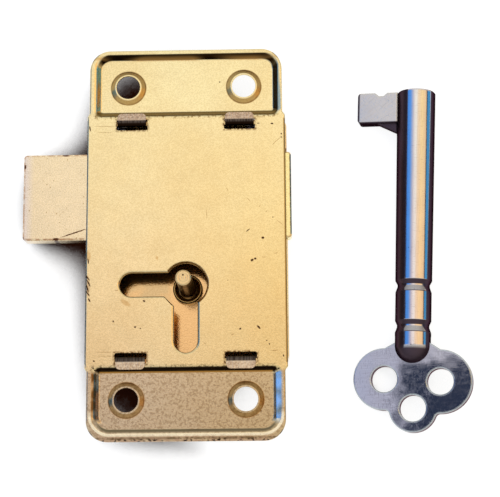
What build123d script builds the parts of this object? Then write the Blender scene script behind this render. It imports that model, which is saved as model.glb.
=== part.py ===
"""Surface-mounted cabinet lock with its loose key, built as separate pieces.

The lock lies on the back of its case: X runs across the plate, Y up the plate
and Z out of the face that goes against the door. The key lies beside it.
"""
import os
from math import asin, atan2, cos, degrees, hypot, radians, sin

from build123d import *

# Sheet metal
sheet = 0.9
case_depth = 8.6                      # back of the case to the door side of the plate
plate_under = case_depth - sheet
past = 0.1                            # cutters and joined pieces run this far past a surface

# Cover plate outline, seen from the door side
plate_top = 40.33
plate_bottom = -40.85                 # the sheared end keeps a wider rim
end_half_width = 19.95
panel_left = -20.35
panel_right = 20.5
plate_corner_r = 4.3
panel_end = 26.1                      # the panel's flat ends here, above and below
width_step = 0.7                      # length of the step from one width to the other
width_step_r = 0.5
plate_edge_r = 0.35

# Trays pressed into both ends of the plate
tray_depth = 1.3
upper_tray = {"x": 0.18, "half_width": 17.93, "inner": 27.2, "outer": 38.57, "run": 0.9, "shoulder_r": 0.8}
lower_tray = {"x": 0.07, "half_width": 17.55, "inner": 26.9, "outer": 37.8, "run": 1.1, "shoulder_r": 1.1}
tray_outer_corner_r = 2.3
tray_inner_corner_r = 0.6
tray_floor_r = 0.35
tray_under_r = 0.5
tray_floor = case_depth - tray_depth

# Screw holes, countersunk from the case side
screw_x = 12.0
screw_y = 32.5
screw_hole_r = 2.45
dimple_r = 3.6
dimple_land_r = 2.75
dimple_height = 0.65
dimple_edge_r = 0.2
countersink_r = 3.9
countersink_depth = 1.1

# Keyhole: a round hole with one slot to the left and one down
post_y = -9.2
keyhole_r = 4.35
left_slot_width = 4.95
left_slot_reach = 13.45
down_slot_width = 4.8
down_slot_reach = 13.95
slot_chamfer = 2.0
keyhole_edge_r = 0.3

# Windows in the plate and the tabs clinched through them
tab_x = 11.1
tab_width = 5.9
tab_end = 26.5
tab_end_corner_r = 0.9
tab_end_slope = 0.3                   # the tab's end is thinned by the clinching blow
tab_lip = 0.65                        # the lower edge of its end lies this far back
tab_proud = 0.85
tab_bend_r = 0.12
tab_thickness = 1.35                  # the clinching blow upsets the tab's bend
window_width = 6.4
window_inner = 23.1
window_outer = 25.34
window_corner_r = 0.35

# Case box
case_half_width = 20.6
case_half_length = 25.2
case_shift_x = 0.15                   # the box sits a little to the right of the plate
case_corner_r = 1.6
case_edge_r = 1.4

# Bolt
bolt_left = -33.55
bolt_length = 55.15
bolt_bottom = 0.4
bolt_height = 18.0
bolt_top = bolt_bottom + bolt_height
bolt_middle = bolt_bottom + bolt_height / 2
bolt_thickness = 3.4
bolt_play = 0.2
bolt_throw = 12.7
bolt_corner_r = 0.7
bolt_edge_r = 0.3
doorway_gap_below = 0.5
doorway_gap_above = 0.6
bolt_z = plate_under - bolt_play - bolt_thickness

# Talon under the bolt, which the key's bit pushes
talon_gap = 5.0
talon_leg = 4.0
talon_flare = 2.0                     # each leg's outer side widens this much on its way up
talon_tip = 8.4                       # height of the leg tips above the post's axis
talon_root = 12.5                     # height of the gap's end above the post's axis
talon_root_r = 0.6

# Bolt guide stud
stud_r = 2.1
stud_fit = 0.06
stud_collar_r = 3.5
stud_head_gap = 0.15
stud_chamfer = 0.3

# Flush riveted ends of the post and the studs
rivet_sink = 0.6
rivet_flare = 0.7

# Detent spring
spring_thickness = 0.35
spring_height = 2.6
spring_reach = 15.2
spring_end_length = 1.2               # both ends turn away from the wall
spring_end_drop = 0.6
spring_wall_gap = 0.05
spring_nose = 0.75
spring_nose_half = 1.3
spring_flat = 1.6                     # level stretch on each side of the nose
spring_lift = 0.25                    # the level stretches ride this far off the bolt
spring_bend_r = 0.35
spring_stud_r = 1.0
spring_stud_x = 16.7
spring_stud_y = 23.0
spring_stud_drop = 0.4
notch_clearance = 0.03
notch_widening = 1.18

# Key post and its collar
post_r = 1.6
post_out = 7.3                        # free length above the plate
post_chamfer = 0.3
post_foot_r = 2.2
post_foot_height = 0.6
collar_r = 3.05
collar_height = 1.5
collar_edge = 0.15
collar_rim = 0.2                      # flat rim between the collar's two bevels
collar_bevel_depth = 0.5

# Ward on the case floor
ward_r = 7.2
ward_width = 2.0
ward_height = 0.5
ward_edge = 0.12
ward_from = -50
ward_to = 140
ward_step = 38

# Key, lying beside the lock
key_x = 48.08
key_tip_y = 31.4
key_turn = -2.46                      # degrees, seen from above
barrel_tip_r = 3.98
barrel_low_r = 3.75
barrel_tip_edge = 0.25
bead_r = 3.68
neck_r = 3.28
first_groove = 39.9                   # distances from the tip
bead_start = 42.3
bead_end = 48.2
last_bead = 50.6
dome_start = 53.3
barrel_end = 56.95
groove_side = 0.85
groove_rise = 1.1
key_bore_r = 1.8
key_bore_depth = 15.0
key_mouth_bevel = 0.4
bit_reach = 12.1
bit_height = 6.45
bit_thickness = 2.9
bit_setback = 0.0
bit_corner_r = 0.7
bit_notch_width = 2.6
bit_notch_depth = 0.7
bit_notch_floor = 0.35                # the notch's floor is this share of its width
bit_web_height = 2.5
bit_web_length = 4.4
bow_thickness = 2.0
bow_hole_r = 2.65
bow_left = (-5.62, -60.1, 6.3)        # centre and radius of each lobe, from the tip
bow_right = (5.75, -60.45, 6.45)
bow_low = (0.25, -65.9, 4.85)
bow_waist_r = 0.9
bow_web_end = 0.62                    # the web between the side lobes reaches down this share of their radius
bow_shoulder = 52.7
bow_edge = 0.15
bow_slot = 51.3


def keep(solid, name):
    """Write one piece as parts/NAME.step."""
    solid.label = name
    export_step(solid, f"parts/{name}.step")
    print(f"{name}: {solid.volume:.1f} mm3")


def outline(*points):
    """Flat face inside a closed run of straight lines."""
    return make_face(Polyline(*points, close=True))


def turned(*profile):
    """Revolve an (r, z) outline about the Z axis."""
    return revolve(Plane.XZ * outline(*profile), Axis.Z)


def block(x, y, z):
    """Box from three (low, high) pairs."""
    size = Box(x[1] - x[0], y[1] - y[0], z[1] - z[0], align=(Align.MIN, Align.MIN, Align.MIN))
    return Pos(x[0], y[0], z[0]) * size


def upright_edges(solid):
    """Edges that run along Z."""
    return solid.edges().filter_by(Axis.Z)


def top_face(solid):
    """Highest face of a solid."""
    return solid.faces().sort_by(Axis.Z)[-1]


def bottom_face(solid):
    """Lowest face of a solid."""
    return solid.faces().sort_by(Axis.Z)[0]


def flush_rivet(radius):
    """Riveted end of a post: flares out to fill the sunk hole in the case floor."""
    return turned((0, 0), (radius + rivet_flare, 0), (radius, rivet_sink), (radius, sheet), (0, sheet))


# Cover plate

def plate_outline():
    """Flat outline: narrower beside the trays, with round outer corners."""
    step_end = panel_end + width_step
    right = [(end_half_width, plate_bottom), (end_half_width, -step_end), (panel_right, -panel_end),
             (panel_right, panel_end), (end_half_width, step_end), (end_half_width, plate_top)]
    left = [(-end_half_width, plate_top), (-end_half_width, step_end), (panel_left, panel_end),
            (panel_left, -panel_end), (-end_half_width, -step_end), (-end_half_width, plate_bottom)]
    face = outline(*right, *left)
    face = fillet([v for v in face.vertices() if abs(v.Y) > step_end + past], plate_corner_r)
    return fillet([v for v in face.vertices() if abs(v.Y) < step_end + past], width_step_r)


def tray_outline(tray, grow, z):
    """Tray's outline at a height, above the panel; grow is (outer sides, panel side) added to the floor's."""
    sides, panel = grow
    left, right = tray["x"] - tray["half_width"] - sides, tray["x"] + tray["half_width"] + sides
    low, high = tray["inner"] - panel, tray["outer"] + sides
    face = outline((left, low), (right, low), (right, high), (left, high))
    face = fillet(face.vertices().group_by(Axis.Y)[-1], tray_outer_corner_r + sides)
    panel_corners = face.vertices().group_by(Axis.Y)[0]
    face = fillet(panel_corners, tray_inner_corner_r + panel / 2)
    return Pos(0, 0, z) * face


def tray_growth(run, height, wrap):
    """Growth at a height above the floor: the wall's slope, pushed out by the sheet where it wraps."""
    slope = run / tray_depth
    return slope * height + (sheet * hypot(1, slope) if wrap else 0)


def tray_loft(tray, low, high, wrap):
    """A tray's sloping prism between two heights above the floor."""
    runs = (tray["run"], tray["inner"] - panel_end)
    ends = [tray_outline(tray, [tray_growth(run, height, wrap) for run in runs], tray_floor + height)
            for height in (low, high)]
    return loft(ends, ruled=True)


def tray_tools(tray):
    """The space pressed into the plate and the sheet that wraps it underneath."""
    hollow = tray_loft(tray, 0, tray_depth + 2 * past, False)
    hollow = fillet(bottom_face(hollow).edges(), tray_floor_r)
    shell = tray_loft(tray, -sheet, plate_under + past - tray_floor, True)
    shell = fillet(bottom_face(shell).edges(), tray_under_r)
    return hollow, shell


def keyhole():
    """Round hole with an obround slot to the left and one down, the corner between them cut off."""
    hole = Pos(0, post_y) * Circle(keyhole_r)
    r = left_slot_width / 2
    left = Pos(r - left_slot_reach, post_y) * Circle(r)
    left += Pos((r - left_slot_reach) / 2, post_y) * Rectangle(left_slot_reach - r, left_slot_width)
    r = down_slot_width / 2
    down = Pos(0, post_y + r - down_slot_reach) * Circle(r)
    down += Pos(0, post_y + (r - down_slot_reach) / 2) * Rectangle(down_slot_width, down_slot_reach - r)
    x, y = -down_slot_width / 2, post_y - left_slot_width / 2
    corner = outline((x, y), (x - slot_chamfer, y), (x, y - slot_chamfer))
    return hole + left + down + corner


def dimple():
    """Raised land round a screw hole, standing up from the tray floor."""
    top = tray_floor + dimple_height
    land = turned((0, tray_floor - past), (dimple_r, tray_floor - past), (dimple_r, tray_floor),
                  (dimple_land_r, top), (0, top))
    return fillet(land.edges().filter_by(GeomType.CIRCLE).sort_by(Axis.Z)[-1], dimple_edge_r)


def screw_hole():
    """Hole with its countersink on the case side."""
    low = tray_floor - sheet
    slope = (countersink_r - screw_hole_r) / countersink_depth
    return turned((0, low - past), (countersink_r + slope * past, low - past),
                  (screw_hole_r, low + countersink_depth), (screw_hole_r, case_depth), (0, case_depth))


def tab_window(x, side):
    """Cutter for the window that a tab comes up through; side is 1 above and -1 below."""
    low, high = sorted((side * window_inner, side * window_outer))
    hole = block((x - window_width / 2, x + window_width / 2), (low, high),
                 (plate_under - past, case_depth + past))
    return fillet(upright_edges(hole), window_corner_r)


def cover_plate():
    """Pressed plate with two trays, four screw holes, the keyhole and four tab windows."""
    plate = Pos(0, 0, plate_under) * extrude(plate_outline(), sheet)
    plate = fillet(top_face(plate).edges(), plate_edge_r)
    upper_hollow, upper_shell = tray_tools(upper_tray)
    lower_hollow, lower_shell = [mirror(tool, Plane.XZ) for tool in tray_tools(lower_tray)]
    plate = plate + upper_shell + lower_shell
    plate = plate - upper_hollow - lower_hollow
    for side, tray in ((1, upper_tray), (-1, lower_tray)):
        mouth_x = tray["half_width"] + tray["run"] + past
        mouth_y = tray["outer"] + tray["run"] + past
        rims = [e for e in top_face(plate).edges()
                if abs(e.center().X - tray["x"]) < mouth_x and panel_end - past < side * e.center().Y < mouth_y]
        plate = fillet(rims, tray["shoulder_r"])
    spots = [(x, y) for x in (-screw_x, screw_x) for y in (-screw_y, screw_y)]
    for x, y in spots:
        plate = plate + Pos(x, y, 0) * dimple()
    for x, y in spots:
        plate = plate - Pos(x, y, 0) * screw_hole()
    plate = plate - Pos(0, 0, plate_under - past) * extrude(keyhole(), sheet + 2 * past)
    keyhole_top = post_y + keyhole_r + past
    edges = [e for e in top_face(plate).edges()
             if -window_inner < e.center().Y < keyhole_top and abs(e.center().X) < left_slot_reach + past]
    plate = fillet(edges, keyhole_edge_r)
    for x in (-tab_x, tab_x):
        for side in (-1, 1):
            plate = plate - tab_window(x, side)
    return plate


# Case box

def clinched_tab():
    """Tab on the upper wall: up through the window, then bent out over the plate."""
    bend_y = case_half_length + tab_bend_r
    top = case_depth + tab_proud
    inner_y = case_half_length - tab_thickness
    outer_r = tab_bend_r + sheet
    foot_z = plate_under - 1
    side = Polyline((case_half_length - sheet, foot_z), (case_half_length - sheet, plate_under - past),
                    (inner_y, plate_under + past), (inner_y, top - outer_r))
    bend = RadiusArc(side @ 1, (inner_y + outer_r, top), outer_r)
    lid = Polyline(bend @ 1, (tab_end, top - tab_end_slope), (tab_end, case_depth - past),
                   (tab_end - tab_lip, case_depth), (bend_y, case_depth))
    inside = RadiusArc(lid @ 1, (case_half_length, case_depth - tab_bend_r), -tab_bend_r)
    foot = Polyline(inside @ 1, (case_half_length, foot_z), side @ 0)
    face = Plane.YZ * make_face([*side.edges(), bend, *lid.edges(), inside, *foot.edges()])
    tab = Pos(-tab_width / 2, 0, 0) * extrude(face, tab_width, dir=(1, 0, 0))
    corners = [e for e in upright_edges(tab) if e.center().Y > tab_end - past]
    return fillet(corners, tab_end_corner_r)


def bolt_doorways():
    """Notches in both side walls that the bolt slides through."""
    reach = case_half_width + 1
    return block((-reach, reach), (bolt_bottom - doorway_gap_below, bolt_top + doorway_gap_above),
                 (bolt_z - bolt_play, case_depth))


def round_box(wide, long, z, corner_r, edge_r):
    """Block with round upright corners and a round edge below."""
    box = Pos(case_shift_x, 0, 0) * block((-wide, wide), (-long, long), z)
    box = fillet(upright_edges(box), corner_r)
    return fillet(bottom_face(box).edges(), edge_r)


def case_box():
    """Drawn box with a floor, four walls, the bolt's doorways and four tabs."""
    outside = round_box(case_half_width, case_half_length, (0, plate_under), case_corner_r, case_edge_r)
    inside = round_box(case_half_width - sheet, case_half_length - sheet, (sheet, case_depth),
                       case_corner_r - sheet, case_edge_r - sheet)
    box = outside - inside - bolt_doorways()
    for x in (-tab_x, tab_x):
        tab = Pos(x, 0, 0) * clinched_tab()
        box = box + tab + mirror(tab, Plane.XZ)
    box = box - Pos(0, post_y, 0) * flush_rivet(post_r)
    box = box - Pos(0, bolt_middle, 0) * flush_rivet(stud_r)
    for x in (-spring_stud_x, spring_stud_x):
        box = box - Pos(x, spring_stud_y, 0) * flush_rivet(spring_stud_r)
    return box


# Bolt and what guides and holds it

def bolt_notch():
    """V notch in the bolt's upper edge, a little larger than the spring's nose."""
    depth = spring_nose + notch_clearance
    half = spring_nose_half * notch_widening + spring_lift
    above = bolt_top + spring_lift
    face = outline((-half, above), (0, bolt_top - depth), (half, above))
    return Pos(0, 0, bolt_z - past) * extrude(face, bolt_thickness + 2 * past)


def talon_legs():
    """Two legs below the bolt with the gap between them that the bit swings through."""
    middle = -bolt_throw / 2
    tip, root = post_y + talon_tip, post_y + talon_root
    half = talon_gap / 2 + talon_leg
    base = half + talon_flare
    legs = extrude(outline((middle - base, bolt_bottom + past), (middle - half, tip), (middle + half, tip),
                           (middle + base, bolt_bottom + past)), bolt_thickness)
    gap = block((middle - talon_gap / 2, middle + talon_gap / 2), (tip - 1, root),
                (-past, bolt_thickness + past))
    gap = fillet(upright_edges(gap), talon_root_r)
    return Pos(0, 0, bolt_z) * legs, Pos(0, 0, bolt_z) * gap


def bolt():
    """Flat bar with its guide slot, two detent notches and the talon that the key pushes."""
    bar = block((bolt_left, bolt_left + bolt_length), (bolt_bottom, bolt_top),
                (bolt_z, bolt_z + bolt_thickness))
    bar = fillet(upright_edges(bar), bolt_corner_r)
    bar = chamfer(top_face(bar).edges(), bolt_edge_r)
    legs, gap = talon_legs()
    bar = bar + legs - gap
    width = 2 * (stud_r + stud_fit)
    slot = extrude(SlotOverall(bolt_throw + width, width), bolt_thickness + 2 * past)
    bar = bar - Pos(-bolt_throw / 2, bolt_middle, bolt_z - past) * slot
    for x in (0, -bolt_throw):
        bar = bar - Pos(x, 0, 0) * bolt_notch()
    return bar


def guide_stud():
    """Shouldered stud riveted to the case floor; the bolt's slot runs on it."""
    shoulder = bolt_z - bolt_play
    end = plate_under - stud_head_gap
    stud = turned((0, sheet), (stud_collar_r, sheet), (stud_collar_r, shoulder), (stud_r, shoulder),
                  (stud_r, end - stud_chamfer), (stud_r - stud_chamfer, end), (0, end))
    return Pos(0, bolt_middle, 0) * (stud + flush_rivet(stud_r))


def detent_spring():
    """Leaf spring along the upper wall whose nose drops into the bolt's notches."""
    wall = case_half_length - sheet - spring_thickness / 2 - spring_wall_gap
    level = bolt_top + spring_thickness / 2 + spring_lift
    half = [(spring_nose_half, level), (spring_nose_half + spring_flat, level),
            (spring_reach - spring_end_length, wall), (spring_reach, wall - spring_end_drop)]
    left = [(-x, y) for x, y in reversed(half)]
    nose = (0, level - spring_lift - spring_nose)
    wire = Wire(FilletPolyline(*left, nose, *half, radius=spring_bend_r).edges())
    face = make_face(wire.offset_2d(spring_thickness / 2, side=Side.BOTH).edges())
    return Pos(0, 0, bolt_z + (bolt_thickness - spring_height) / 2) * extrude(face, spring_height)


def spring_studs():
    """Two small studs, one group, that keep the spring from creeping along the wall."""
    top = bolt_z + bolt_thickness - spring_stud_drop
    shank = turned((0, sheet), (spring_stud_r, sheet), (spring_stud_r, top), (0, top))
    stud = shank + flush_rivet(spring_stud_r)
    return Compound(children=[Pos(x, spring_stud_y, 0) * stud for x in (-spring_stud_x, spring_stud_x)])


# Key post, collar and ward

def key_post():
    """Turned pin that the hollow key slides over, riveted through the case floor."""
    end = case_depth + post_out
    foot = sheet + post_foot_height
    pin = turned((0, sheet), (post_foot_r, sheet), (post_foot_r, foot), (post_r, foot + post_chamfer),
                 (post_r, end - post_chamfer), (post_r - post_chamfer, end), (0, end))
    return Pos(0, post_y, 0) * (pin + flush_rivet(post_r))


def post_collar():
    """Ring round the foot of the post, bevelled inside, that the key's tip lands on."""
    top = sheet + collar_height
    rim = collar_r - collar_edge
    ring = turned((post_foot_r, sheet), (collar_r, sheet), (collar_r, top - collar_edge), (rim, top),
                  (rim - collar_rim, top), (post_foot_r, top - collar_bevel_depth))
    return Pos(0, post_y, 0) * ring


def ward_ring():
    """Raised arc on the case floor that only a bit with the right notch clears."""
    ring = Circle(ward_r + ward_width / 2) - Circle(ward_r - ward_width / 2)
    angles = [radians(a) for a in range(ward_from, ward_to + 1, ward_step)]
    fan = outline((0, 0), *[(2 * ward_r * cos(a), 2 * ward_r * sin(a)) for a in angles])
    arc = extrude(ring & fan, ward_height)
    arc = chamfer(top_face(arc).edges(), ward_edge)
    return Pos(0, post_y, sheet) * arc


# Key: built along Y with its tip at the origin and its bit towards -X, then laid down

def key_roll():
    """Angle at which the bit's lower corner touches the table beside the barrel."""
    corner = hypot(bit_reach, bit_thickness / 2)
    lean = atan2(bit_thickness / 2, bit_reach)
    return degrees(asin(barrel_tip_r / corner) - lean)


def laid(piece):
    """Roll the key onto its bit, turn it as it lies and put it beside the lock."""
    rolled = Rot(0, -key_roll(), 0) * piece
    return Pos(key_x, key_tip_y, barrel_tip_r) * Rot(0, 0, key_turn) * rolled


def barrel_r(distance):
    """Radius of the tapering shank at a distance from its tip."""
    taper = (barrel_tip_r - barrel_low_r) / (first_groove - barrel_tip_edge)
    return barrel_tip_r - taper * (distance - barrel_tip_edge)


def groove(start, stop):
    """Points of one groove between two distances from the tip, its sides sloping."""
    return [(neck_r, -start - groove_side), (neck_r, -stop + groove_rise), (bead_r, -stop)]


def key_barrel():
    """Turned hollow shank with a bead between two grooves and a domed, slotted end."""
    edge = barrel_tip_edge
    profile = Polyline((0, 0), (barrel_tip_r - edge, 0), (barrel_tip_r, -edge), (barrel_low_r, -first_groove),
                       *groove(first_groove, bead_start), (bead_r, -bead_end), *groove(bead_end, last_bead),
                       (bead_r, -dome_start))
    dome = EllipticalCenterArc((0, -dome_start), bead_r, barrel_end - dome_start,
                               start_angle=270, arc_size=90)
    solid = revolve(make_face([*profile.edges(), dome, Line((0, -barrel_end), (0, 0))]), Axis.Y)
    bore = Pos(0, -key_bore_depth / 2, 0) * Rot(90, 0, 0) * Cylinder(key_bore_r, key_bore_depth)
    bevel = Cone(key_bore_r, key_bore_r + key_mouth_bevel, key_mouth_bevel)
    mouth = Pos(0, -key_mouth_bevel / 2, 0) * Rot(-90, 0, 0) * bevel
    half = bow_thickness / 2
    slot = block((-bead_r - 1, bead_r + 1), (-barrel_end - 1, -bow_slot), (-half, half))
    return laid(solid - bore - mouth - slot)


def bit_outline():
    """Flat outline of the bit with the ward's notch in its tip edge."""
    top, low = -bit_setback, -bit_setback - bit_height
    face = outline((0, top), (-bit_reach, top), (-bit_reach, low), (0, low))
    face = fillet(face.vertices().group_by(Axis.X)[0], bit_corner_r)
    half = bit_notch_width / 2
    floor_half = half * bit_notch_floor
    notch = outline((-ward_r - half, top), (-ward_r - floor_half, top - bit_notch_depth),
                    (-ward_r + floor_half, top - bit_notch_depth), (-ward_r + half, top))
    return face - notch


def key_bit():
    """Flat bit brazed on the shank, with a small web below it."""
    low = -bit_setback - bit_height
    root = barrel_tip_r
    web = outline((1 - root, low + past), (-root - bit_web_length, low + past),
                  (1 - root, low - bit_web_height))
    solid = Pos(0, 0, -bit_thickness / 2) * extrude(bit_outline(), bit_thickness)
    solid = solid + Pos(0, 0, -bit_thickness / 4) * extrude(web, bit_thickness / 2)
    far = 2 * bit_height
    shank = revolve(outline((0, 1), (barrel_r(-1), 1), (barrel_r(far), -far), (0, -far)), Axis.Y)
    return laid(solid - shank)


def bow_outline():
    """Two side lobes and a low one, joined by a web that runs up to the shank."""
    lobes = (bow_left, bow_right, bow_low)
    face = Sketch() + [Pos(x, y) * Circle(r) for x, y, r in lobes]
    (left_x, left_y, left_r), (right_x, right_y, right_r) = bow_left, bow_right
    face += outline((left_x, left_y + left_r), (-bead_r, -bow_shoulder), (bead_r, -bow_shoulder),
                    (right_x, right_y + right_r), (right_x, right_y - right_r * bow_web_end),
                    (left_x, left_y - left_r * bow_web_end))
    waist = [v for v in face.vertices() if v.Y < left_y - left_r / 2 and abs(v.X) < left_r]
    face = fillet(waist, bow_waist_r)
    return face - [Pos(x, y) * Circle(bow_hole_r) for x, y, r in lobes]


def key_bow():
    """Flat three-lobed bow with three holes, let into the slot in the shank's end."""
    plate = Pos(0, 0, -bow_thickness / 2) * extrude(bow_outline(), bow_thickness)
    rims = [*bottom_face(plate).edges(), *top_face(plate).edges()]
    return laid(chamfer(rims, bow_edge))


os.makedirs("parts", exist_ok=True)
for make in (cover_plate, case_box, bolt, guide_stud, detent_spring, spring_studs, key_post, post_collar,
             ward_ring, key_barrel, key_bit, key_bow):
    keep(make(), make.__name__)
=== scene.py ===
"""Surface-mounted cabinet lock and its loose key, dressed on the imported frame, in metres."""
from math import cos, radians, sin

import bpy
from mathutils import Matrix, Vector

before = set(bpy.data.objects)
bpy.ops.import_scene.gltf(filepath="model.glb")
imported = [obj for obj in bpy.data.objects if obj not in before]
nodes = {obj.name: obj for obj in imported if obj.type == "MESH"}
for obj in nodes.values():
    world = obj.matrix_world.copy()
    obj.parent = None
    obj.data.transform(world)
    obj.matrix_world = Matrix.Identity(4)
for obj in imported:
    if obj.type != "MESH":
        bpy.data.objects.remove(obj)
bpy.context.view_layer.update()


# Cover plate: cold-rolled steel, blanked and pressed, then plated with a thin yellow brass.
# The die's grain shows through the plating, and handling has left specks and hairlines.

mm = 0.001


def linear(hex_colour):
    """sRGB hex to the linear RGBA that shaders use."""
    channels = [int(hex_colour[i:i + 2], 16) / 255 for i in (1, 3, 5)]
    return (*[c / 12.92 if c <= 0.04045 else ((c + 0.055) / 1.055) ** 2.4 for c in channels], 1.0)


def add(tree, kind, inputs=(), stops=(), **settings):
    """Add one node: inputs are (socket, value or output) pairs and stops are a ramp's (place, colour) pairs."""
    made = tree.nodes.new(kind)
    for name, value in settings.items():
        setattr(made, name, value)
    for socket, value in inputs:
        if isinstance(value, bpy.types.Node):
            value = next(out for out in value.outputs if out.enabled)
        if isinstance(value, bpy.types.NodeSocket):
            tree.links.new(value, made.inputs[socket])
        else:
            made.inputs[socket].default_value = value
    if stops:
        ramp = made.color_ramp.elements
        while len(ramp) < len(stops):
            ramp.new(1.0)
        for element, (place, colour) in zip(ramp, stops):
            element.position, element.color = place, colour
    return made


def start_material(name):
    """Empty node material and the Object coordinates, in mm, that its patterns read."""
    made = bpy.data.materials.new(name)
    made.use_nodes = True
    tree = made.node_tree
    tree.nodes.clear()
    coords = add(tree, "ShaderNodeTexCoord").outputs["Object"]
    return made, tree, add(tree, "ShaderNodeVectorMath", [(0, coords), ("Scale", 1 / mm)], operation="SCALE")


def dress(node, material):
    """Give a carried-over node its finish."""
    nodes[node].data.materials.clear()
    nodes[node].data.materials.append(material)


def patchy(tree, place, size, low=0.3, high=0.7, detail=2):
    """Share that wanders between 0 and 1 over patches of a size in mm."""
    noise = add(tree, "ShaderNodeTexNoise", [("Vector", place), ("Scale", 1 / size), ("Detail", detail)])
    return add(tree, "ShaderNodeMapRange", [("Value", noise), ("From Min", low), ("From Max", high)])


def specks(tree, place, spacing, size):
    """Share that is 1 in scattered small spots: a spot fills the part of its cell nearer than a random reach."""
    cell = add(tree, "ShaderNodeTexVoronoi", [("Vector", place), ("Scale", 1 / spacing)])
    chance = add(tree, "ShaderNodeSeparateXYZ", [("Vector", cell.outputs["Color"])])
    reach = add(tree, "ShaderNodeMapRange", [("Value", chance), ("From Min", 0.5), ("To Max", size / spacing / 2)])
    inside = add(tree, "ShaderNodeMath", [(0, reach), (1, cell.outputs["Distance"])], operation="SUBTRACT")
    return add(tree, "ShaderNodeMapRange", [("Value", inside), ("From Max", 0.08 * size / spacing)])


def hairlines(tree, place, turn, length, width, rare):
    """Share that is 1 along scratches lying one way: noise stretched to a length and width in mm, cut high."""
    lain = add(tree, "ShaderNodeMapping", [("Vector", place), ("Rotation", (0, 0, radians(turn))),
                                           ("Scale", (length, width, length))], vector_type="TEXTURE")
    return patchy(tree, lain, 1.0, rare, rare + 0.05, 1)


def marks(tree, place, spots):
    """Share that is 1 on each (x, y, length, width, degrees) mark, in mm: nearness to the marks' ellipses."""
    shift, thick, far = 0.2, 60, 2.0
    shake = add(tree, "ShaderNodeTexNoise", [("Vector", place), ("Scale", 4.0), ("Detail", 1)])
    ragged = add(tree, "ShaderNodeVectorMath", [(0, shake.outputs["Color"]), (1, (shift, shift, 0)), (2, place)],
                 operation="MULTIPLY_ADD")
    near = far
    for x, y, length, width, turn in spots:
        local = add(tree, "ShaderNodeMapping", [
            ("Vector", ragged), ("Location", (x + shift / 2, y + shift / 2, 0)),
            ("Rotation", (0, 0, radians(turn))), ("Scale", (length / 2, width / 2, thick))], vector_type="TEXTURE")
        reach = add(tree, "ShaderNodeVectorMath", [(0, local)], operation="LENGTH")
        near = add(tree, "ShaderNodeMath", [(0, near), (1, reach)], operation="MINIMUM")
    return add(tree, "ShaderNodeMapRange", [("Value", near), ("From Min", 1.25), ("From Max", 0.8)])


def gap_to(tree, place, low, high):
    """Distance in mm, seen from above, to a rectangle between two corners; 0 inside it."""
    nearest = add(tree, "ShaderNodeVectorMath", [(0, place), (1, (*high, 1000))], operation="MINIMUM")
    nearest = add(tree, "ShaderNodeVectorMath", [(0, nearest), (1, (*low, -1000))], operation="MAXIMUM")
    return add(tree, "ShaderNodeVectorMath", [(0, place), (1, nearest)], operation="DISTANCE")


def within(tree, value, none_at, full_at, patches=1.0):
    """Share that rises from 0 to 1 between two values and is broken up by patches."""
    rise = add(tree, "ShaderNodeMapRange", [("Value", value), ("From Min", none_at), ("From Max", full_at)])
    return add(tree, "ShaderNodeMath", [(0, rise), (1, patches)], operation="MULTIPLY")


def between(tree, value, rise, fall, patches=1.0):
    """Share that rises over one pair of values, falls again over a second, and is broken up by patches."""
    return within(tree, value, *rise, within(tree, value, fall[1], fall[0], patches))


def coats(tree, colour, *layers):
    """Colour with layers laid over it, each a (share, colour, blend) triple."""
    for share, over, blend in layers:
        colour = add(tree, "ShaderNodeMix", [("Factor", share), ("A", colour), ("B", over)],
                     data_type="RGBA", blend_type=blend)
    return colour


def metal(tree, colour, roughness, edge, reliefs, leans=(), more=()):
    """Metal whose corners look worn to a radius; reliefs are (height share, depth) and leans (share, direction).

    A lean turns the surface's direction towards a fixed one, where pressing has rounded it more than the mesh.
    """
    normal = add(tree, "ShaderNodeBevel", [("Radius", edge * mm)], samples=4)
    for share, direction in leans:
        normal = add(tree, "ShaderNodeMix", [("Factor", share), ("A", normal), ("B", direction)],
                     data_type="VECTOR")
    if leans:
        normal = add(tree, "ShaderNodeVectorMath", [(0, normal)], operation="NORMALIZE")
    for height, depth in reliefs:
        normal = add(tree, "ShaderNodeBump", [("Height", height), ("Strength", 1.0), ("Distance", depth * mm),
                                              ("Normal", normal)])
    shader = add(tree, "ShaderNodeBsdfPrincipled", [
        ("Base Color", colour), ("Metallic", 1.0), ("Roughness", roughness), ("Normal", normal), *more])
    add(tree, "ShaderNodeOutputMaterial", [("Surface", shader)])


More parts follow.
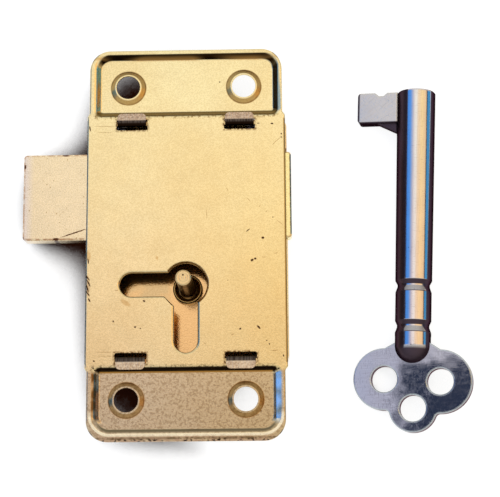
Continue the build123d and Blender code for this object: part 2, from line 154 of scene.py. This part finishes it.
grain_size = 0.3        # coarser than the real grain, which is too fine to show in the render
cloud_size = 14.0
brass_light, brass_dull = "#f6e6b4", "#f2dda7"
brown, near_black = "#6a4520", "#2a1a0c"
window_low, window_high = (7.9, 23.1), (14.3, 25.34)
post_y = -9.2
slot_half, hole_r = 2.45, 4.35
left_slot_end, down_slot_end = (-10.98, post_y), (0, -20.75)
screw_at = (12.0, 32.5)
lower_floor = (-15.18, -35.5), (15.32, -28.0)
nicks = [(-19.8, 23.6, 1.1, 0.25, -78), (17.8, 24.1, 0.62, 0.3, -5), (15.0, 24.2, 0.62, 0.2, -3),
         (19.7, 21.9, 0.35, 0.25, -83), (19.7, 21.2, 0.37, 0.25, 0), (15.7, 0.1, 0.6, 0.5, 0),
         (13.5, -4.5, 0.62, 0.5, 33), (14.1, -4.2, 0.48, 0.42, 18), (11.0, -18.5, 0.42, 0.38, 31),
         (14.7, -18.2, 0.9, 0.34, -46), (16.3, -20.9, 0.31, 0.2, -51), (16.8, -21.6, 0.38, 0.2, -59),
         (19.6, -24.0, 0.52, 0.25, -77), (-14.6, -16.7, 0.34, 0.3, -34), (-10.2, -17.9, 0.4, 0.34, -23),
         (-9.1, -18.2, 0.32, 0.24, -9), (-8.4, -12.6, 0.52, 0.4, -25), (-18.4, -24.7, 0.45, 0.25, -27),
         (7.0, 33.6, 0.3, 0.28, 0), (-19.5, -12.3, 0.8, 0.3, -63), (12.7, 1.7, 1.0, 0.2, 38),
         (-19.8, -4.3, 1.2, 0.24, -80), (-19.9, -7.7, 1.4, 0.28, -50), (-19.7, -8.8, 1.6, 0.26, -62),
         (-19.9, -9.9, 1.5, 0.3, -75), (-19.8, -11.0, 1.2, 0.26, -55), (2.6, -13.0, 0.7, 0.22, 40)]
scratches = [(-16.7, 24.0, 4.15, 0.12, -1), (-16.8, 22.7, 3.1, 0.12, -2), (-16.3, -22.9, 3.0, 0.15, -1),
             (-16.3, -23.7, 3.3, 0.12, -1), (19.2, 3.2, 1.83, 0.14, -40), (18.6, 20.3, 2.2, 0.14, 43),
             (12.9, 8.1, 0.96, 0.14, -49), (15.1, 6.7, 0.47, 0.14, 45), (16.5, 5.6, 0.52, 0.14, 53),
             (8.5, 10.3, 0.7, 0.12, -63), (4.3, 5.0, 1.9, 0.12, -86), (15.9, -3.9, 0.9, 0.14, -1),
             (18.3, -3.1, 0.9, 0.14, 15), (9.4, -19.6, 0.6, 0.2, 31), (17.9, -22.9, 1.4, 0.2, 2),
             (3.8, -21.3, 0.7, 0.14, -41), (-14.0, -10.4, 0.7, 0.22, 3)]
smears = [(-12.2, -12.9, 2.2, 0.9, -34), (-5.8, -3.8, 0.8, 0.5, -79), (-19.8, -3.2, 2.2, 0.9, -88)]
rubbed = [(-19.9, -9.3, 4.3, 0.9, -88)]

made, tree, place = start_material("brass_plated_sheet")
grain = patchy(tree, place, grain_size, 0.36, 0.64, 1)
coarse = patchy(tree, place, 2 * grain_size, 0.5, 0.6)
axes = add(tree, "ShaderNodeSeparateXYZ", [("Vector", place)])
x, y = axes.outputs["X"], axes.outputs["Y"]
folded = add(tree, "ShaderNodeVectorMath", [(0, place)], operation="ABSOLUTE")
folded_axes = add(tree, "ShaderNodeSeparateXYZ", [("Vector", folded)])
to_side, folded_y = folded_axes.outputs["X"], folded_axes.outputs["Y"]
to_window = gap_to(tree, folded, window_low, window_high)
to_screw = gap_to(tree, folded, screw_at, screw_at)
to_left_slot = gap_to(tree, place, left_slot_end, (0, post_y))
to_down_slot = gap_to(tree, place, down_slot_end, (0, post_y))
to_post = gap_to(tree, place, (0, post_y), (0, post_y))
to_hole = add(tree, "ShaderNodeMath", [(0, to_post), (1, hole_r - slot_half)], operation="SUBTRACT")
to_keyhole = add(tree, "ShaderNodeMath", [(0, to_left_slot), (1, to_down_slot)], operation="MINIMUM")
to_keyhole = add(tree, "ShaderNodeMath", [(0, to_keyhole), (1, to_hole)], operation="MINIMUM")

# Both trays: their walls, painted with shade by the way they face, and the rings round the screw holes, painted
# darker as shade on their slopes and at their foot.
facing = add(tree, "ShaderNodeSeparateXYZ", [("Vector", add(tree, "ShaderNodeNewGeometry").outputs["Normal"])])
in_tray = between(tree, folded_y, (25.8, 26.0), (39.4, 39.6), within(tree, to_side, 19.5, 19.3))
in_tray = within(tree, to_screw, 3.6, 3.9, in_tray)
shade_facing_down = within(tree, facing.outputs["Y"], -0.25, -0.55, in_tray)
shade_facing_up = within(tree, facing.outputs["Y"], 0.25, 0.55, in_tray)
shade_facing_left = within(tree, facing.outputs["X"], -0.25, -0.55, in_tray)
ring = between(tree, to_screw, (2.7, 2.85), (3.6, 3.8))
foot = between(tree, to_screw, (3.4, 3.5), (3.65, 3.75), patchy(tree, place, 1.5, 0.2, 0.9, 1))
rough_side = within(tree, to_side, 19.3, 18.6, coarse)
blotches = patchy(tree, place, 2.0, 0.15, 0.55, 0)

# Upper tray: the fold and slope beside the panel in painted shade, the right shoulder, the outer wall's patches of
# painted warm gold reflection, and its crest.
upper = between(tree, y, (26.6, 27.4), (30.0, 37.0))
# Painted shade on the fold and slope between the panel and the upper tray.
upper_fold_shade = between(tree, y, (25.3, 26.0), (26.3, 26.7), rough_side)
upper_slope_shade = between(tree, y, (25.9, 26.3), (27.0, 27.3), within(tree, to_side, 18.9, 18.4))
upper_foot_shade = within(tree, y, 0.0, 1.0, shade_facing_up)
upper_left_shade = within(tree, shade_facing_left, 0.0, 1.0, within(tree, y, 0.0, 1.0, 0.9))
upper_shoulder = between(tree, x, (18.8, 19.1), (19.6, 19.9), upper)
# Patches of painted warm gold reflection on the upper tray's outer wall.
orange_reflection = within(tree, patchy(tree, place, 6.0, 0.36, 0.60, 0), 0.0, 1.5)
orange_reflection = between(tree, y, (38.2, 38.6), (38.7, 39.4), orange_reflection)
crest = between(tree, y, (39.3, 39.4), (40.1, 40.3), 0.95)

# Lower tray: the brink and fold beside the panel, the fold in painted shade, with a painted highlight line at the
# floor's edge; both shoulders, the left in painted shade and the right with painted highlights; and the outer wall's
# foot, face and crest, which follow the rounded corners by their distance to the floor less its corners, the face in
# painted shade and the crest with a painted highlight. The rim is the plate's own edge.
lower = between(tree, y, (-26.8, -27.4), (-36.0, -37.6))
brink = between(tree, y, (-25.1, -25.5), (-25.9, -26.2), within(tree, to_side, 18.9, 18.5, 0.85))
# Painted shade along the fold between the panel and the lower tray.
lower_fold_shade = between(tree, y, (-25.3, -26.3), (-26.6, -26.8), rough_side)
# A painted golden highlight line along the lower tray's floor edge beside the panel.
golden_edge_highlight = between(tree, y, (-26.7, -26.8), (-27.0, -27.1), within(tree, to_side, 17.6, 17.2, 0.9))
# Painted shade on the lower tray's left wall and shoulder.
left_shoulder_shade = between(tree, x, (-17.9, -18.1), (-18.8, -19.0), within(tree, lower, 0.0, 1.0, blotches))
# The lower tray's right shoulder, with pale painted highlights in blotches.
lower_shoulder_highlight = between(tree, x, (17.6, 18.2), (18.9, 19.6), lower)
low_side = within(tree, y, -34.5, -36.0)
low_gap = gap_to(tree, place, *lower_floor)
low_end = within(tree, y, -36.2, -37.2)
low_face_shade = within(tree, low_gap, 2.75, 2.95, within(tree, y, 0.0, -1.0, shade_facing_up))
foot_fold = between(tree, low_gap, (2.0, 2.2), (2.8, 3.0), low_end)
low_wall = between(tree, low_gap, (2.8, 3.0), (3.5, 3.7), within(tree, low_end, 0.0, 1.25))
# A painted highlight along the crest of the lower tray's outer wall.
low_crest_highlight = between(tree, low_gap, (3.65, 3.85), (4.2, 4.4), low_side)
low_rim = between(tree, y, (-39.9, -40.05), (-40.35, -40.5), patchy(tree, place, 1.2, 0.2, 0.6))

# Panel: its sides, rounded more than the mesh on the left and with a darker golden line down the right, which stop
# short of both trays, and brown edges round the four windows.
left_edge = within(tree, x, -20.15, -20.3, within(tree, folded_y, 25.4, 25.2, 0.9))
right_edge = within(tree, x, 20.05, 20.2, within(tree, folded_y, 25.4, 25.2, 0.8))
window_edge = within(tree, to_window, 0.5, 0.05, patchy(tree, place, 0.5, 0.35, 0.6))
colour = coats(
    tree, linear(brass_light),
    (patchy(tree, place, cloud_size), linear(brass_dull), "MIX"),
    (grain, (0.89, 0.87, 0.83, 1), "MULTIPLY"),
    # Painted shade and light on the panel: darker towards the bottom and yellower towards the lower right.
    (within(tree, y, 32.0, 5.0), (0.98, 0.94, 0.92, 1), "MULTIPLY"),
    (within(tree, y, 6.0, -24.0), (0.97, 0.93, 0.93, 1), "MULTIPLY"),
    (within(tree, x, -10.0, 18.0, within(tree, y, 25.0, -5.0)), (1.0, 0.99, 0.86, 1), "MULTIPLY"),
    # Painted shade makes the lower tray darker; it is also mottled.
    (within(tree, y, -26.4, -27.2), (0.75, 0.75, 0.90, 1), "MULTIPLY"),
    (within(tree, y, -26.4, -27.2, coarse), (0.78, 0.74, 0.70, 1), "MULTIPLY"),
    # Painted shade: the rings round the screw holes are darker on their slopes and brown in the crease at their foot.
    (ring, (0.58, 0.46, 0.30, 1), "MULTIPLY"),
    (foot, linear(brown), "MIX"),
    # Painted shade on the trays' walls, chosen by the way each wall faces.
    (upper_foot_shade, linear("#7a683f"), "MIX"),
    (low_face_shade, linear("#8a7a5c"), "MIX"),
    (low_crest_highlight, linear("#fff4d2"), "MIX"),
    (shade_facing_down, linear("#20150c"), "MIX"),
    (upper_left_shade, linear("#33200f"), "MIX"),
    (left_shoulder_shade, linear("#6f5230"), "MIX"),
    (within(tree, lower_shoulder_highlight, 0.0, 1.0, blotches), linear("#eef4ec"), "MIX"),
    (specks(tree, place, 3.0, 0.32), linear(brown), "MIX"),
    (hairlines(tree, place, 40, 2.5, 0.15, 0.79), (0.86, 0.82, 0.76, 1), "MULTIPLY"),
    (window_edge, linear(brown), "MIX"),
    (lower_fold_shade, linear(near_black), "MIX"),
    (upper_slope_shade, linear("#8a7444"), "MIX"),
    (upper_fold_shade, linear("#9a7c4c"), "MIX"),
    (within(tree, y, -39.3, -40.3, patchy(tree, place, 0.8)), linear("#b8977a"), "MIX"),
    (within(tree, y, -39.9, -40.5, patchy(tree, place, 0.6, 0.56, 0.6)), linear(near_black), "MIX"),
    (orange_reflection, linear("#a07840"), "MIX"),
    (within(tree, low_rim, 0.0, 1.4), linear("#6e5636"), "MIX"),
    (golden_edge_highlight, linear("#a87c3c"), "MIX"),
    (right_edge, linear("#8a6a2c"), "MIX"),
    (marks(tree, place, smears), (0.84, 0.74, 0.62, 1), "MULTIPLY"),
    (marks(tree, place, rubbed), (0.74, 0.70, 0.70, 1), "MULTIPLY"),
    (marks(tree, place, scratches), (0.66, 0.58, 0.50, 1), "MULTIPLY"),
    (marks(tree, place, nicks), linear("#4a2c12"), "MIX"))
rough = add(tree, "ShaderNodeMapRange", [("Value", patchy(tree, place, 3.0)), ("To Min", 0.18), ("To Max", 0.23)])
metal(tree, colour, rough, 0.1,
      [(grain, 0.003), (within(tree, to_keyhole, slot_half + 0.15, slot_half + 0.4), 0.07)],
      [(lower_shoulder_highlight, (-0.30, 0.04, 0.95)), (upper_shoulder, (-0.28, 0.0, 0.96)),
       (orange_reflection, (0.2, 0.0, 0.98)), (crest, (0.0, 0.03, 1.0)), (brink, (0.0, 0.0, 1.0)), (golden_edge_highlight, (0.12, 0.0, 0.99)),
       (left_edge, (-0.33, 0.0, 0.94)), (foot_fold, (0.0, 0.0, 1.0)), (low_wall, (0.0, 0.54, 0.84)),
       (low_crest_highlight, (0.0, 0.0, 1.0)), (within(tree, ring, 0.0, 1.0, 0.4), (0.30, 0.25, 0.92))])
dress("cover_plate", made)


# Case box: the same sheet drawn into a box, painted warmer low down as light thrown back inside it, with a patch of
# painted shade on its floor. Its four tabs, bent over by a blow, have lost their colour: they are painted dark as
# shade where they are bent, and pale and mottled at the end.

case_top = 8.4
tab_end_from = 25.0
made, tree, place = start_material("brass_plated_box")
grain = patchy(tree, place, grain_size, 0.36, 0.64, 1)
folded = add(tree, "ShaderNodeVectorMath", [(0, place)], operation="ABSOLUTE")
axes = add(tree, "ShaderNodeSeparateXYZ", [("Vector", folded)])
y, z = axes.outputs["Y"], axes.outputs["Z"]
on_tab = within(tree, z, case_top, case_top + 0.1)
facing = add(tree, "ShaderNodeSeparateXYZ", [("Vector", add(tree, "ShaderNodeNewGeometry").outputs["Normal"])])
bend_shade = within(tree, facing.outputs["Y"], -0.2, -0.5, within(tree, y, tab_end_from, tab_end_from - 0.2, on_tab))
flutes = within(tree, z, case_top, case_top + 0.1, hairlines(tree, place, 90, 4.0, 0.15, 0.5))
tab_end = within(tree, y, tab_end_from - 0.1, tab_end_from + 0.15, on_tab)
mottle = within(tree, y, tab_end_from, tab_end_from + 0.3, patchy(tree, place, 0.4, 0.4, 0.6))
# A patch of painted shade on the case floor, away from its middle.
floor_shade = within(tree, z, 2.0, 1.0, patchy(tree, place, 3.0, 0.2, 0.5))
floor_shade = within(tree, axes.outputs["X"], 3.0, 4.5, floor_shade)
colour = coats(
    tree, linear("#e9c086"),
    (within(tree, z, 2.0, 4.0, patchy(tree, place, cloud_size)), linear(brass_light), "MIX"),
    (floor_shade, (0.80, 0.90, 1.0, 1), "MULTIPLY"),
    (grain, (0.89, 0.87, 0.83, 1), "MULTIPLY"),
    (specks(tree, place, 2.0, 0.4), linear(brown), "MIX"),
    (hairlines(tree, place, 70, 3.0, 0.2, 0.70), (0.84, 0.80, 0.74, 1), "MULTIPLY"),
    # Painted shade where the tabs are bent: dark slate, darker still where it faces the middle.
    (on_tab, linear("#5c5149"), "MIX"),
    (flutes, linear("#3a302a"), "MIX"),
    (bend_shade, linear("#22150d"), "MIX"),
    (tab_end, linear("#d9c3a8"), "MIX"),
    (within(tree, tab_end, 0.0, 1.0, mottle), (0.68, 0.62, 0.58, 1), "MULTIPLY"))
roughness = add(tree, "ShaderNodeMapRange", [("Value", z), ("From Min", 1.5), ("From Max", 7.0),
                                             ("To Min", 0.12), ("To Max", 0.24)])
metal(tree, colour, roughness, 0.1,
      [(grain, 0.003), (flutes, 0.01), (within(tree, y, tab_end_from - 0.1, 26.6, on_tab), 0.5)])
dress("case_box", made)
dress("ward_ring", made)


# Bolt: cold-drawn steel bar, milled, drilled and brass plated; its thrown end is worn brown along the edges,
# pale near the tip, and scored where it has run in the doorway.

bolt_low, bolt_high = (-33.55, 0.4), (21.6, 18.4)
bolt_face = 7.4
worn = 0.6
made, tree, place = start_material("brass_plated_bar")
grain = patchy(tree, place, grain_size, 0.36, 0.64, 1)
axes = add(tree, "ShaderNodeSeparateXYZ", [("Vector", place)])
x, y, z = axes.outputs["X"], axes.outputs["Y"], axes.outputs["Z"]
to_middle = gap_to(tree, place, [v + worn for v in bolt_low], [v - worn for v in bolt_high])
on_face = within(tree, z, bolt_face - 0.3, bolt_face - 0.1, patchy(tree, place, 0.7, 0.35, 0.55))
colour = coats(
    tree, linear("#f6e3bc"),
    (patchy(tree, place, 12.0), linear("#f4e1bb"), "MIX"),
    (within(tree, x, -31.4, -33.0), linear("#ecdfd0"), "MIX"),
    (within(tree, x, 19.5, 20.5), linear("#fff0b0"), "MIX"),
    (grain, (0.88, 0.86, 0.82, 1), "MULTIPLY"),
    (specks(tree, place, 0.7, 0.34), (0.66, 0.58, 0.46, 1), "MULTIPLY"),
    (within(tree, to_middle, 0.1, 0.5, on_face), linear("#b58a62"), "MIX"),
    (marks(tree, place, [(-22.9, 1.85, 5.2, 0.26, 18), (-33.3, 15.9, 0.5, 0.9, 0), (-26.7, 0.6, 1.2, 0.5, 0),
                         (-24.9, 18.2, 1.4, 0.4, 0)]), linear("#5c3820"), "MIX"))
rough = add(tree, "ShaderNodeMapRange", [("Value", patchy(tree, place, 2.0)), ("To Min", 0.20), ("To Max", 0.27)])
low_edge = within(tree, z, bolt_face - 0.6, bolt_face - 0.4, 0.9)
low_edge = within(tree, y, bolt_low[1] + 0.7, bolt_low[1] + 0.5, low_edge)
metal(tree, colour, rough, 0.05, [(grain, 0.004)], [(low_edge, (0.0, 0.0, 1.0))])
dress("bolt", made)


# Key post and collar: both turned from brass rod, the post riveted through the case floor and the ring round it.
# The post is bright on its end and painted dark brown down its side as shade, and the ring is painted dark as shade,
# with pale lathe rings.

post_end = 15.9


def turned_brass(name, shade, pale, bright_from):
    """Brass painted dark as shade, with rings left by the lathe and brown specks; its end above a height in mm is
    bright.
    """
    made, tree, place = start_material(name)
    z = add(tree, "ShaderNodeSeparateXYZ", [("Vector", place)]).outputs["Z"]
    radius = gap_to(tree, place, (0, post_y), (0, post_y))
    turning = add(tree, "ShaderNodeCombineXYZ", [("X", radius), ("Y", z)])
    rings = patchy(tree, turning, 0.35, 0.42, 0.58, 0)
    colour = coats(
        tree, linear(shade),
        (rings, linear(pale), "MIX"),
        (within(tree, z, bright_from, bright_from + 0.1), linear("#e4c793"), "MIX"),
        (specks(tree, place, 0.7, 0.45), linear("#5a4326"), "MIX"))
    rough = add(tree, "ShaderNodeMapRange", [("Value", z), ("From Min", post_end - 0.2),
                                             ("From Max", post_end - 0.1), ("To Min", 0.3), ("To Max", 0.2)])
    metal(tree, colour, rough, 0.08, [(rings, 0.02)])
    return made


dress("key_post", turned_brass("turned_brass_pin", "#5c4026", "#94703e", post_end - 0.3))
dress("post_collar", turned_brass("turned_brass_ring", "#3c2a16", "#e0b870", post_end))


# Guide stud, spring studs and detent spring, all inside the case: the studs are turned steel riveted to its floor,
# and the spring is blued strip. They are bare and dry, with dull clouds, fine lines and a few specks.

def bare_metal(name, colour, dull):
    """Bright metal drawn or ground one way, with dull clouds and fine lines."""
    made, tree, place = start_material(name)
    lines = hairlines(tree, place, 0, 5.0, 0.12, 0.5)
    shade = coats(
        tree, linear(colour),
        (patchy(tree, place, 3.0), linear(dull), "MIX"),
        (lines, (0.90, 0.90, 0.91, 1), "MULTIPLY"),
        (specks(tree, place, 1.2, 0.25), (0.45, 0.40, 0.38, 1), "MULTIPLY"))
    rough = add(tree, "ShaderNodeMapRange", [("Value", patchy(tree, place, 1.5)), ("To Min", 0.2), ("To Max", 0.325)])
    metal(tree, shade, rough, 0.08, [(lines, 0.003)])
    return made


stud_steel = bare_metal("turned_steel", "#c2c2c4", "#a4a4a8")
dress("guide_stud", stud_steel)
dress("spring_studs", stud_steel)
dress("detent_spring", bare_metal("blued_spring_steel", "#5a6276", "#4a4a5a"))


# Key: turned and stamped steel, its bit and bow let in, then nickel plated and worn bright. The flat parts are
# scratched by rings and locks. The sides of the shank, its dome and its grooves, and parts of the bit and bow, are
# painted dark as the reflection of a dark table there, which the pale floor can't give.

key_tip, key_turn, key_roll = (48.08, 31.4, 3.98), -2.46, -12.23


def nickel(name, plate, lie, scratch_turn, score, edge, dark, lines=()):
    """Nickel plate with fine scratches, read along the key's own axes, in mm from its tip.

    dark lists sides painted dark as a reflection, as (axis, none at, full at), and lines rings painted dark the same
    way, as (axis, middle, half, share).
    """
    made, tree, place = start_material(name)
    local = add(tree, "ShaderNodeMapping", [("Vector", place), ("Location", key_tip),
                                            ("Rotation", (0, radians(lie), radians(key_turn)))],
                vector_type="TEXTURE")
    fine = hairlines(tree, local, scratch_turn, 3.0, 0.12, 0.56)
    short = hairlines(tree, local, scratch_turn - 95, 1.2, 0.12, 0.64)
    wander = patchy(tree, local, 5.0, detail=1)
    sides = add(tree, "ShaderNodeSeparateXYZ", [("Vector", local)]).outputs
    dark_reflection = 0.0
    for axis, none_at, full_at in dark:
        dark_reflection = add(tree, "ShaderNodeMath", [(0, dark_reflection), (1, within(tree, sides[axis], none_at, full_at))],
                      operation="MAXIMUM")
    for axis, middle, half, share in lines:
        away = add(tree, "ShaderNodeMath", [(0, sides[axis]), (1, middle)], operation="SUBTRACT")
        away = add(tree, "ShaderNodeMath", [(0, away)], operation="ABSOLUTE")
        dark_reflection = add(tree, "ShaderNodeMath", [(0, dark_reflection), (1, within(tree, away, half + 0.08, half, share))],
                      operation="MAXIMUM")
    colour = coats(
        tree, linear(plate),
        (wander, (0.94, 0.94, 0.95, 1), "MULTIPLY"),
        (fine, (0.93, 0.92, 0.91, 1), "MULTIPLY"),
        (short, (0.86, 0.85, 0.84, 1), "MULTIPLY"),
        (specks(tree, local, 1.4, 0.25), (0.5, 0.46, 0.45, 1), "MULTIPLY"),
        # Painted dark reflection on the listed sides and rings.
        (dark_reflection, linear("#4a3e46"), "MIX"))
    rough = add(tree, "ShaderNodeMapRange", [("Value", patchy(tree, local, 1.0)), ("To Min", 0.03),
                                             ("To Max", 0.07)])
    rough = add(tree, "ShaderNodeMath", [(0, dark_reflection), (1, 0.3), (2, rough)], operation="MULTIPLY_ADD")
    metal(tree, colour, rough, edge, [(wander, 0.01), (short, score), (fine, score / 2)],
          more=[("Specular Tint", (0.2, 0.1, 0.12, 1))])
    return made


dress("key_barrel", nickel("nickel_plated_tube", "#dcd8d6", 0, 88, 0.001, 0.25,
                           [("Z", 2.95, 2.75), ("X", -1.95, -2.1), ("Y", -53.3, -54.1)],
                           [("Y", -40.4, 0.45, 1.0), ("Y", -41.7, 0.5, 0.4), ("Y", -42.3, 0.04, 1.0),
                            ("Y", -48.7, 0.45, 1.0), ("Y", -50.0, 0.5, 0.4), ("Y", -50.6, 0.04, 1.0)]))
dress("key_bit", nickel("nickel_plated_bit", "#e2ddd2", key_roll, 40, 0.006, 0.5,
                        [("Y", -6.1, -6.3), ("X", -11.6, -11.8), ("Z", -1.2, -1.4)]))
dress("key_bow", nickel("nickel_plated_bow", "#c9d0d2", key_roll, 5, 0.0003, 0.4, [("Z", -0.4, -0.7)]))


# Floor: a plain pale board that the lock and key lie on. It shows near white to the camera and in the metal, with a
# soft shadow painted into its colour and glow close under the object, deepest under the lock's left side, away from
# the warm light.

floor_reach, shadow_reach = 12.0, 20 * mm
floor_mesh = bpy.data.meshes.new("floor")
floor_mesh.from_pydata([(-floor_reach, -floor_reach, 0), (floor_reach, -floor_reach, 0),
                        (floor_reach, floor_reach, 0), (-floor_reach, floor_reach, 0)], [], [(0, 1, 2, 3)])
floor = bpy.data.objects.new("floor", floor_mesh)
bpy.context.scene.collection.objects.link(floor)
made, tree, place = start_material("matt_white_board")
path = add(tree, "ShaderNodeLightPath")
seen = add(tree, "ShaderNodeMath", [(0, path.outputs["Is Camera Ray"]), (1, path.outputs["Is Glossy Ray"])],
           operation="MAXIMUM")
seen = add(tree, "ShaderNodeMath", [(0, seen), (1, path.outputs["Is Transmission Ray"])], operation="MAXIMUM")
sky = add(tree, "ShaderNodeAmbientOcclusion", [("Distance", shadow_reach)], samples=16).outputs["AO"]
above = add(tree, "ShaderNodeMapRange", [("Value", sky), ("From Min", 0.05), ("From Max", 0.25), ("To Max", 0.85)],
            interpolation_type="SMOOTHSTEP")
x = add(tree, "ShaderNodeSeparateXYZ", [("Vector", place)]).outputs["X"]
lit = add(tree, "ShaderNodeMapRange", [("Value", sky), ("From Min", 0.45), ("From Max", 0.7)])
lit = add(tree, "ShaderNodeMath", [(0, lit), (1, within(tree, x, -6.0, 4.0))], operation="MAXIMUM")
straight = add(tree, "ShaderNodeMath", [(0, path.outputs["Diffuse Depth"]), (1, 0.5)], operation="LESS_THAN")
lift = add(tree, "ShaderNodeMath", [(0, seen), (1, above)], operation="MULTIPLY")
lift = add(tree, "ShaderNodeMath", [(0, lift), (1, straight)], operation="MULTIPLY")
lift = add(tree, "ShaderNodeMath", [(0, lift), (1, lit)], operation="MULTIPLY")
board = coats(tree, linear("#3a1c10"), (lit, linear("#a0a0a0"), "MIX"))
shader = add(tree, "ShaderNodeBsdfPrincipled", [
    ("Base Color", board), ("Roughness", 1.0), ("Specular IOR Level", 0.0),
    ("Emission Color", (1, 1, 1, 1)), ("Emission Strength", lift)])
add(tree, "ShaderNodeOutputMaterial", [("Surface", shader)])
floor_mesh.materials.append(made)


# Light: a plain pale room, a little cooler on the left. One strip of it, just beyond the lock, holds what the
# polished key shows in bands along its shank: a blue window on the left, white, and warm light on the right.

ramp_reach = 120
world = bpy.data.worlds.new("soft_room")
bpy.context.scene.world = world
world.use_nodes = True
tree = world.node_tree
tree.nodes.clear()
direction = add(tree, "ShaderNodeTexCoord").outputs["Generated"]
axes = add(tree, "ShaderNodeSeparateXYZ", [("Vector", direction)])
across = add(tree, "ShaderNodeMath", [(0, axes.outputs["X"]), (1, axes.outputs["Z"])], operation="ARCTAN2")
along = add(tree, "ShaderNodeMath", [(0, axes.outputs["Y"]), (1, axes.outputs["Z"])], operation="ARCTAN2")


def room_ramp(angle, stops):
    """Colours against an angle from overhead, given in degrees up to the ramp's reach on either side."""
    share = add(tree, "ShaderNodeMapRange", [("Value", angle), ("From Min", radians(-ramp_reach)),
                                             ("From Max", radians(ramp_reach))])
    return add(tree, "ShaderNodeValToRGB", [("Fac", share)],
               stops=[((degree + ramp_reach) / (2 * ramp_reach), (*colour, 1.0)) for degree, colour in stops])


bands = room_ramp(across, [
    (-91, (0.05, 0.04, 0.05)), (-58, (0.05, 0.04, 0.05)), (-53, (0.08, 0.33, 0.98)), (-36, (0.14, 0.41, 1.05)),
    (-25, (0.50, 0.58, 0.84)), (-20, (0.70, 0.69, 0.81)), (-14, (0.92, 0.88, 0.90)), (-7, (1.10, 1.10, 1.08)),
    (2, (1.10, 1.05, 0.96)), (8, (1.12, 0.92, 0.67)), (24, (1.2, 0.90, 0.53)), (30, (1.25, 0.95, 0.50)),
    (56, (1.1, 0.78, 0.47)), (61, (0.7, 0.5, 0.3)), (63, (0.05, 0.04, 0.04)), (66, (0.05, 0.05, 0.07)),
    (69, (0.08, 0.37, 0.74)), (91, (0.08, 0.37, 0.74)),
    (94, (0.05, 0.04, 0.05))])
depth = room_ramp(along, [
    (2, (1.05, 0.97, 0.98)), (8, (1.10, 1.01, 1.02)), (12, (1.08, 1.02, 1.0)), (17, (1.07, 1.09, 1.07)),
    (30, (1.1, 1.1, 1.1)), (88, (1.0, 1.0, 1.0))])

# A dark line runs along the strip between the window and the warm light, and widens into a ragged shelf.
clear = add(tree, "ShaderNodeMapRange", [("Value", along), ("From Min", radians(3.4)), ("From Max", radians(6.2)),
                                         ("To Min", 0.14)])
window_side = within(tree, across, radians(-20.35), radians(-20.5))
warm_side = within(tree, across, radians(11), radians(14))
clear = add(tree, "ShaderNodeMath", [(0, clear), (1, window_side)], operation="MAXIMUM")
clear = add(tree, "ShaderNodeMath", [(0, clear), (1, warm_side)], operation="MAXIMUM")
streaks = add(tree, "ShaderNodeMapping", [("Vector", direction), ("Scale", (60.0, 600.0, 60.0))])
streaks = add(tree, "ShaderNodeTexNoise", [("Vector", streaks), ("Scale", 1.0), ("Detail", 1)])
shelf = add(tree, "ShaderNodeMapRange", [("Value", streaks), ("To Min", radians(7.3)), ("To Max", radians(9.5))])
under_shelf = add(tree, "ShaderNodeMath", [(0, along), (1, shelf)], operation="LESS_THAN")
hidden = between(tree, across, (radians(-20.5), radians(-20.35)), (radians(-16), radians(-15)), under_shelf)
clear = add(tree, "ShaderNodeMath", [(0, clear), (1, hidden)], operation="SUBTRACT", use_clamp=True)
room = coats(tree, (0.040, 0.050, 0.095, 1), (clear, coats(tree, bands, (1.0, depth, "MULTIPLY")), "MIX"))

# The rest of the room is plain, brighter overhead. The camera sees a pale wall instead.
overhead = add(tree, "ShaderNodeMapRange", [("Value", axes.outputs["Z"]), ("From Max", 0.6), ("To Min", 0.40),
                                            ("To Max", 0.95)])
sideways = add(tree, "ShaderNodeMapRange", [("Value", axes.outputs["X"]), ("From Min", -1.0)])
plain = coats(tree, (0.86, 0.93, 1.02, 1), (sideways, (1.02, 0.95, 0.84, 1), "MIX"))
plain = add(tree, "ShaderNodeVectorMath", [(0, plain), ("Scale", overhead)], operation="SCALE")
in_strip = between(tree, axes.outputs["Y"], (0.03, 0.06), (0.36, 0.42))
seen = add(tree, "ShaderNodeLightPath").outputs["Is Camera Ray"]
room = coats(tree, plain, (in_strip, room, "MIX"), (seen, (0.9, 0.9, 0.9, 1), "MIX"))
add(tree, "ShaderNodeOutputWorld", [("Surface", add(tree, "ShaderNodeBackground", [
    ("Color", room), ("Strength", 1.0)]))])


# Camera: above the lock and a little towards its lower right, as the photograph was taken. Its place, roll and
# focal length in pixels were fitted to the plate's edges and holes.

eye = Vector((20.919, -61.07, 306.59)) * mm
target = Vector((13.071, -2.101, 8.6)) * mm
roll = radians(-0.469)
focal_px = 1498.7
frame_width_px = 500
sensor_mm = 36
forward = (target - eye).normalized()
level = forward.cross(Vector((0, 1, 0))).normalized()
upright = level.cross(forward)
right = cos(roll) * level + sin(roll) * upright
up = cos(roll) * upright - sin(roll) * level
camera_data = bpy.data.cameras.new("camera")
camera_data.sensor_width = sensor_mm
camera_data.lens = focal_px / frame_width_px * sensor_mm
camera_data.clip_start = 10 * mm
camera = bpy.data.objects.new("camera", camera_data)
bpy.context.scene.collection.objects.link(camera)
camera.matrix_world = Matrix.Translation(eye) @ Matrix((right, up, -forward)).transposed().to_4x4()
bpy.context.scene.camera = camera
bpy.context.scene.view_settings.view_transform = "Standard"
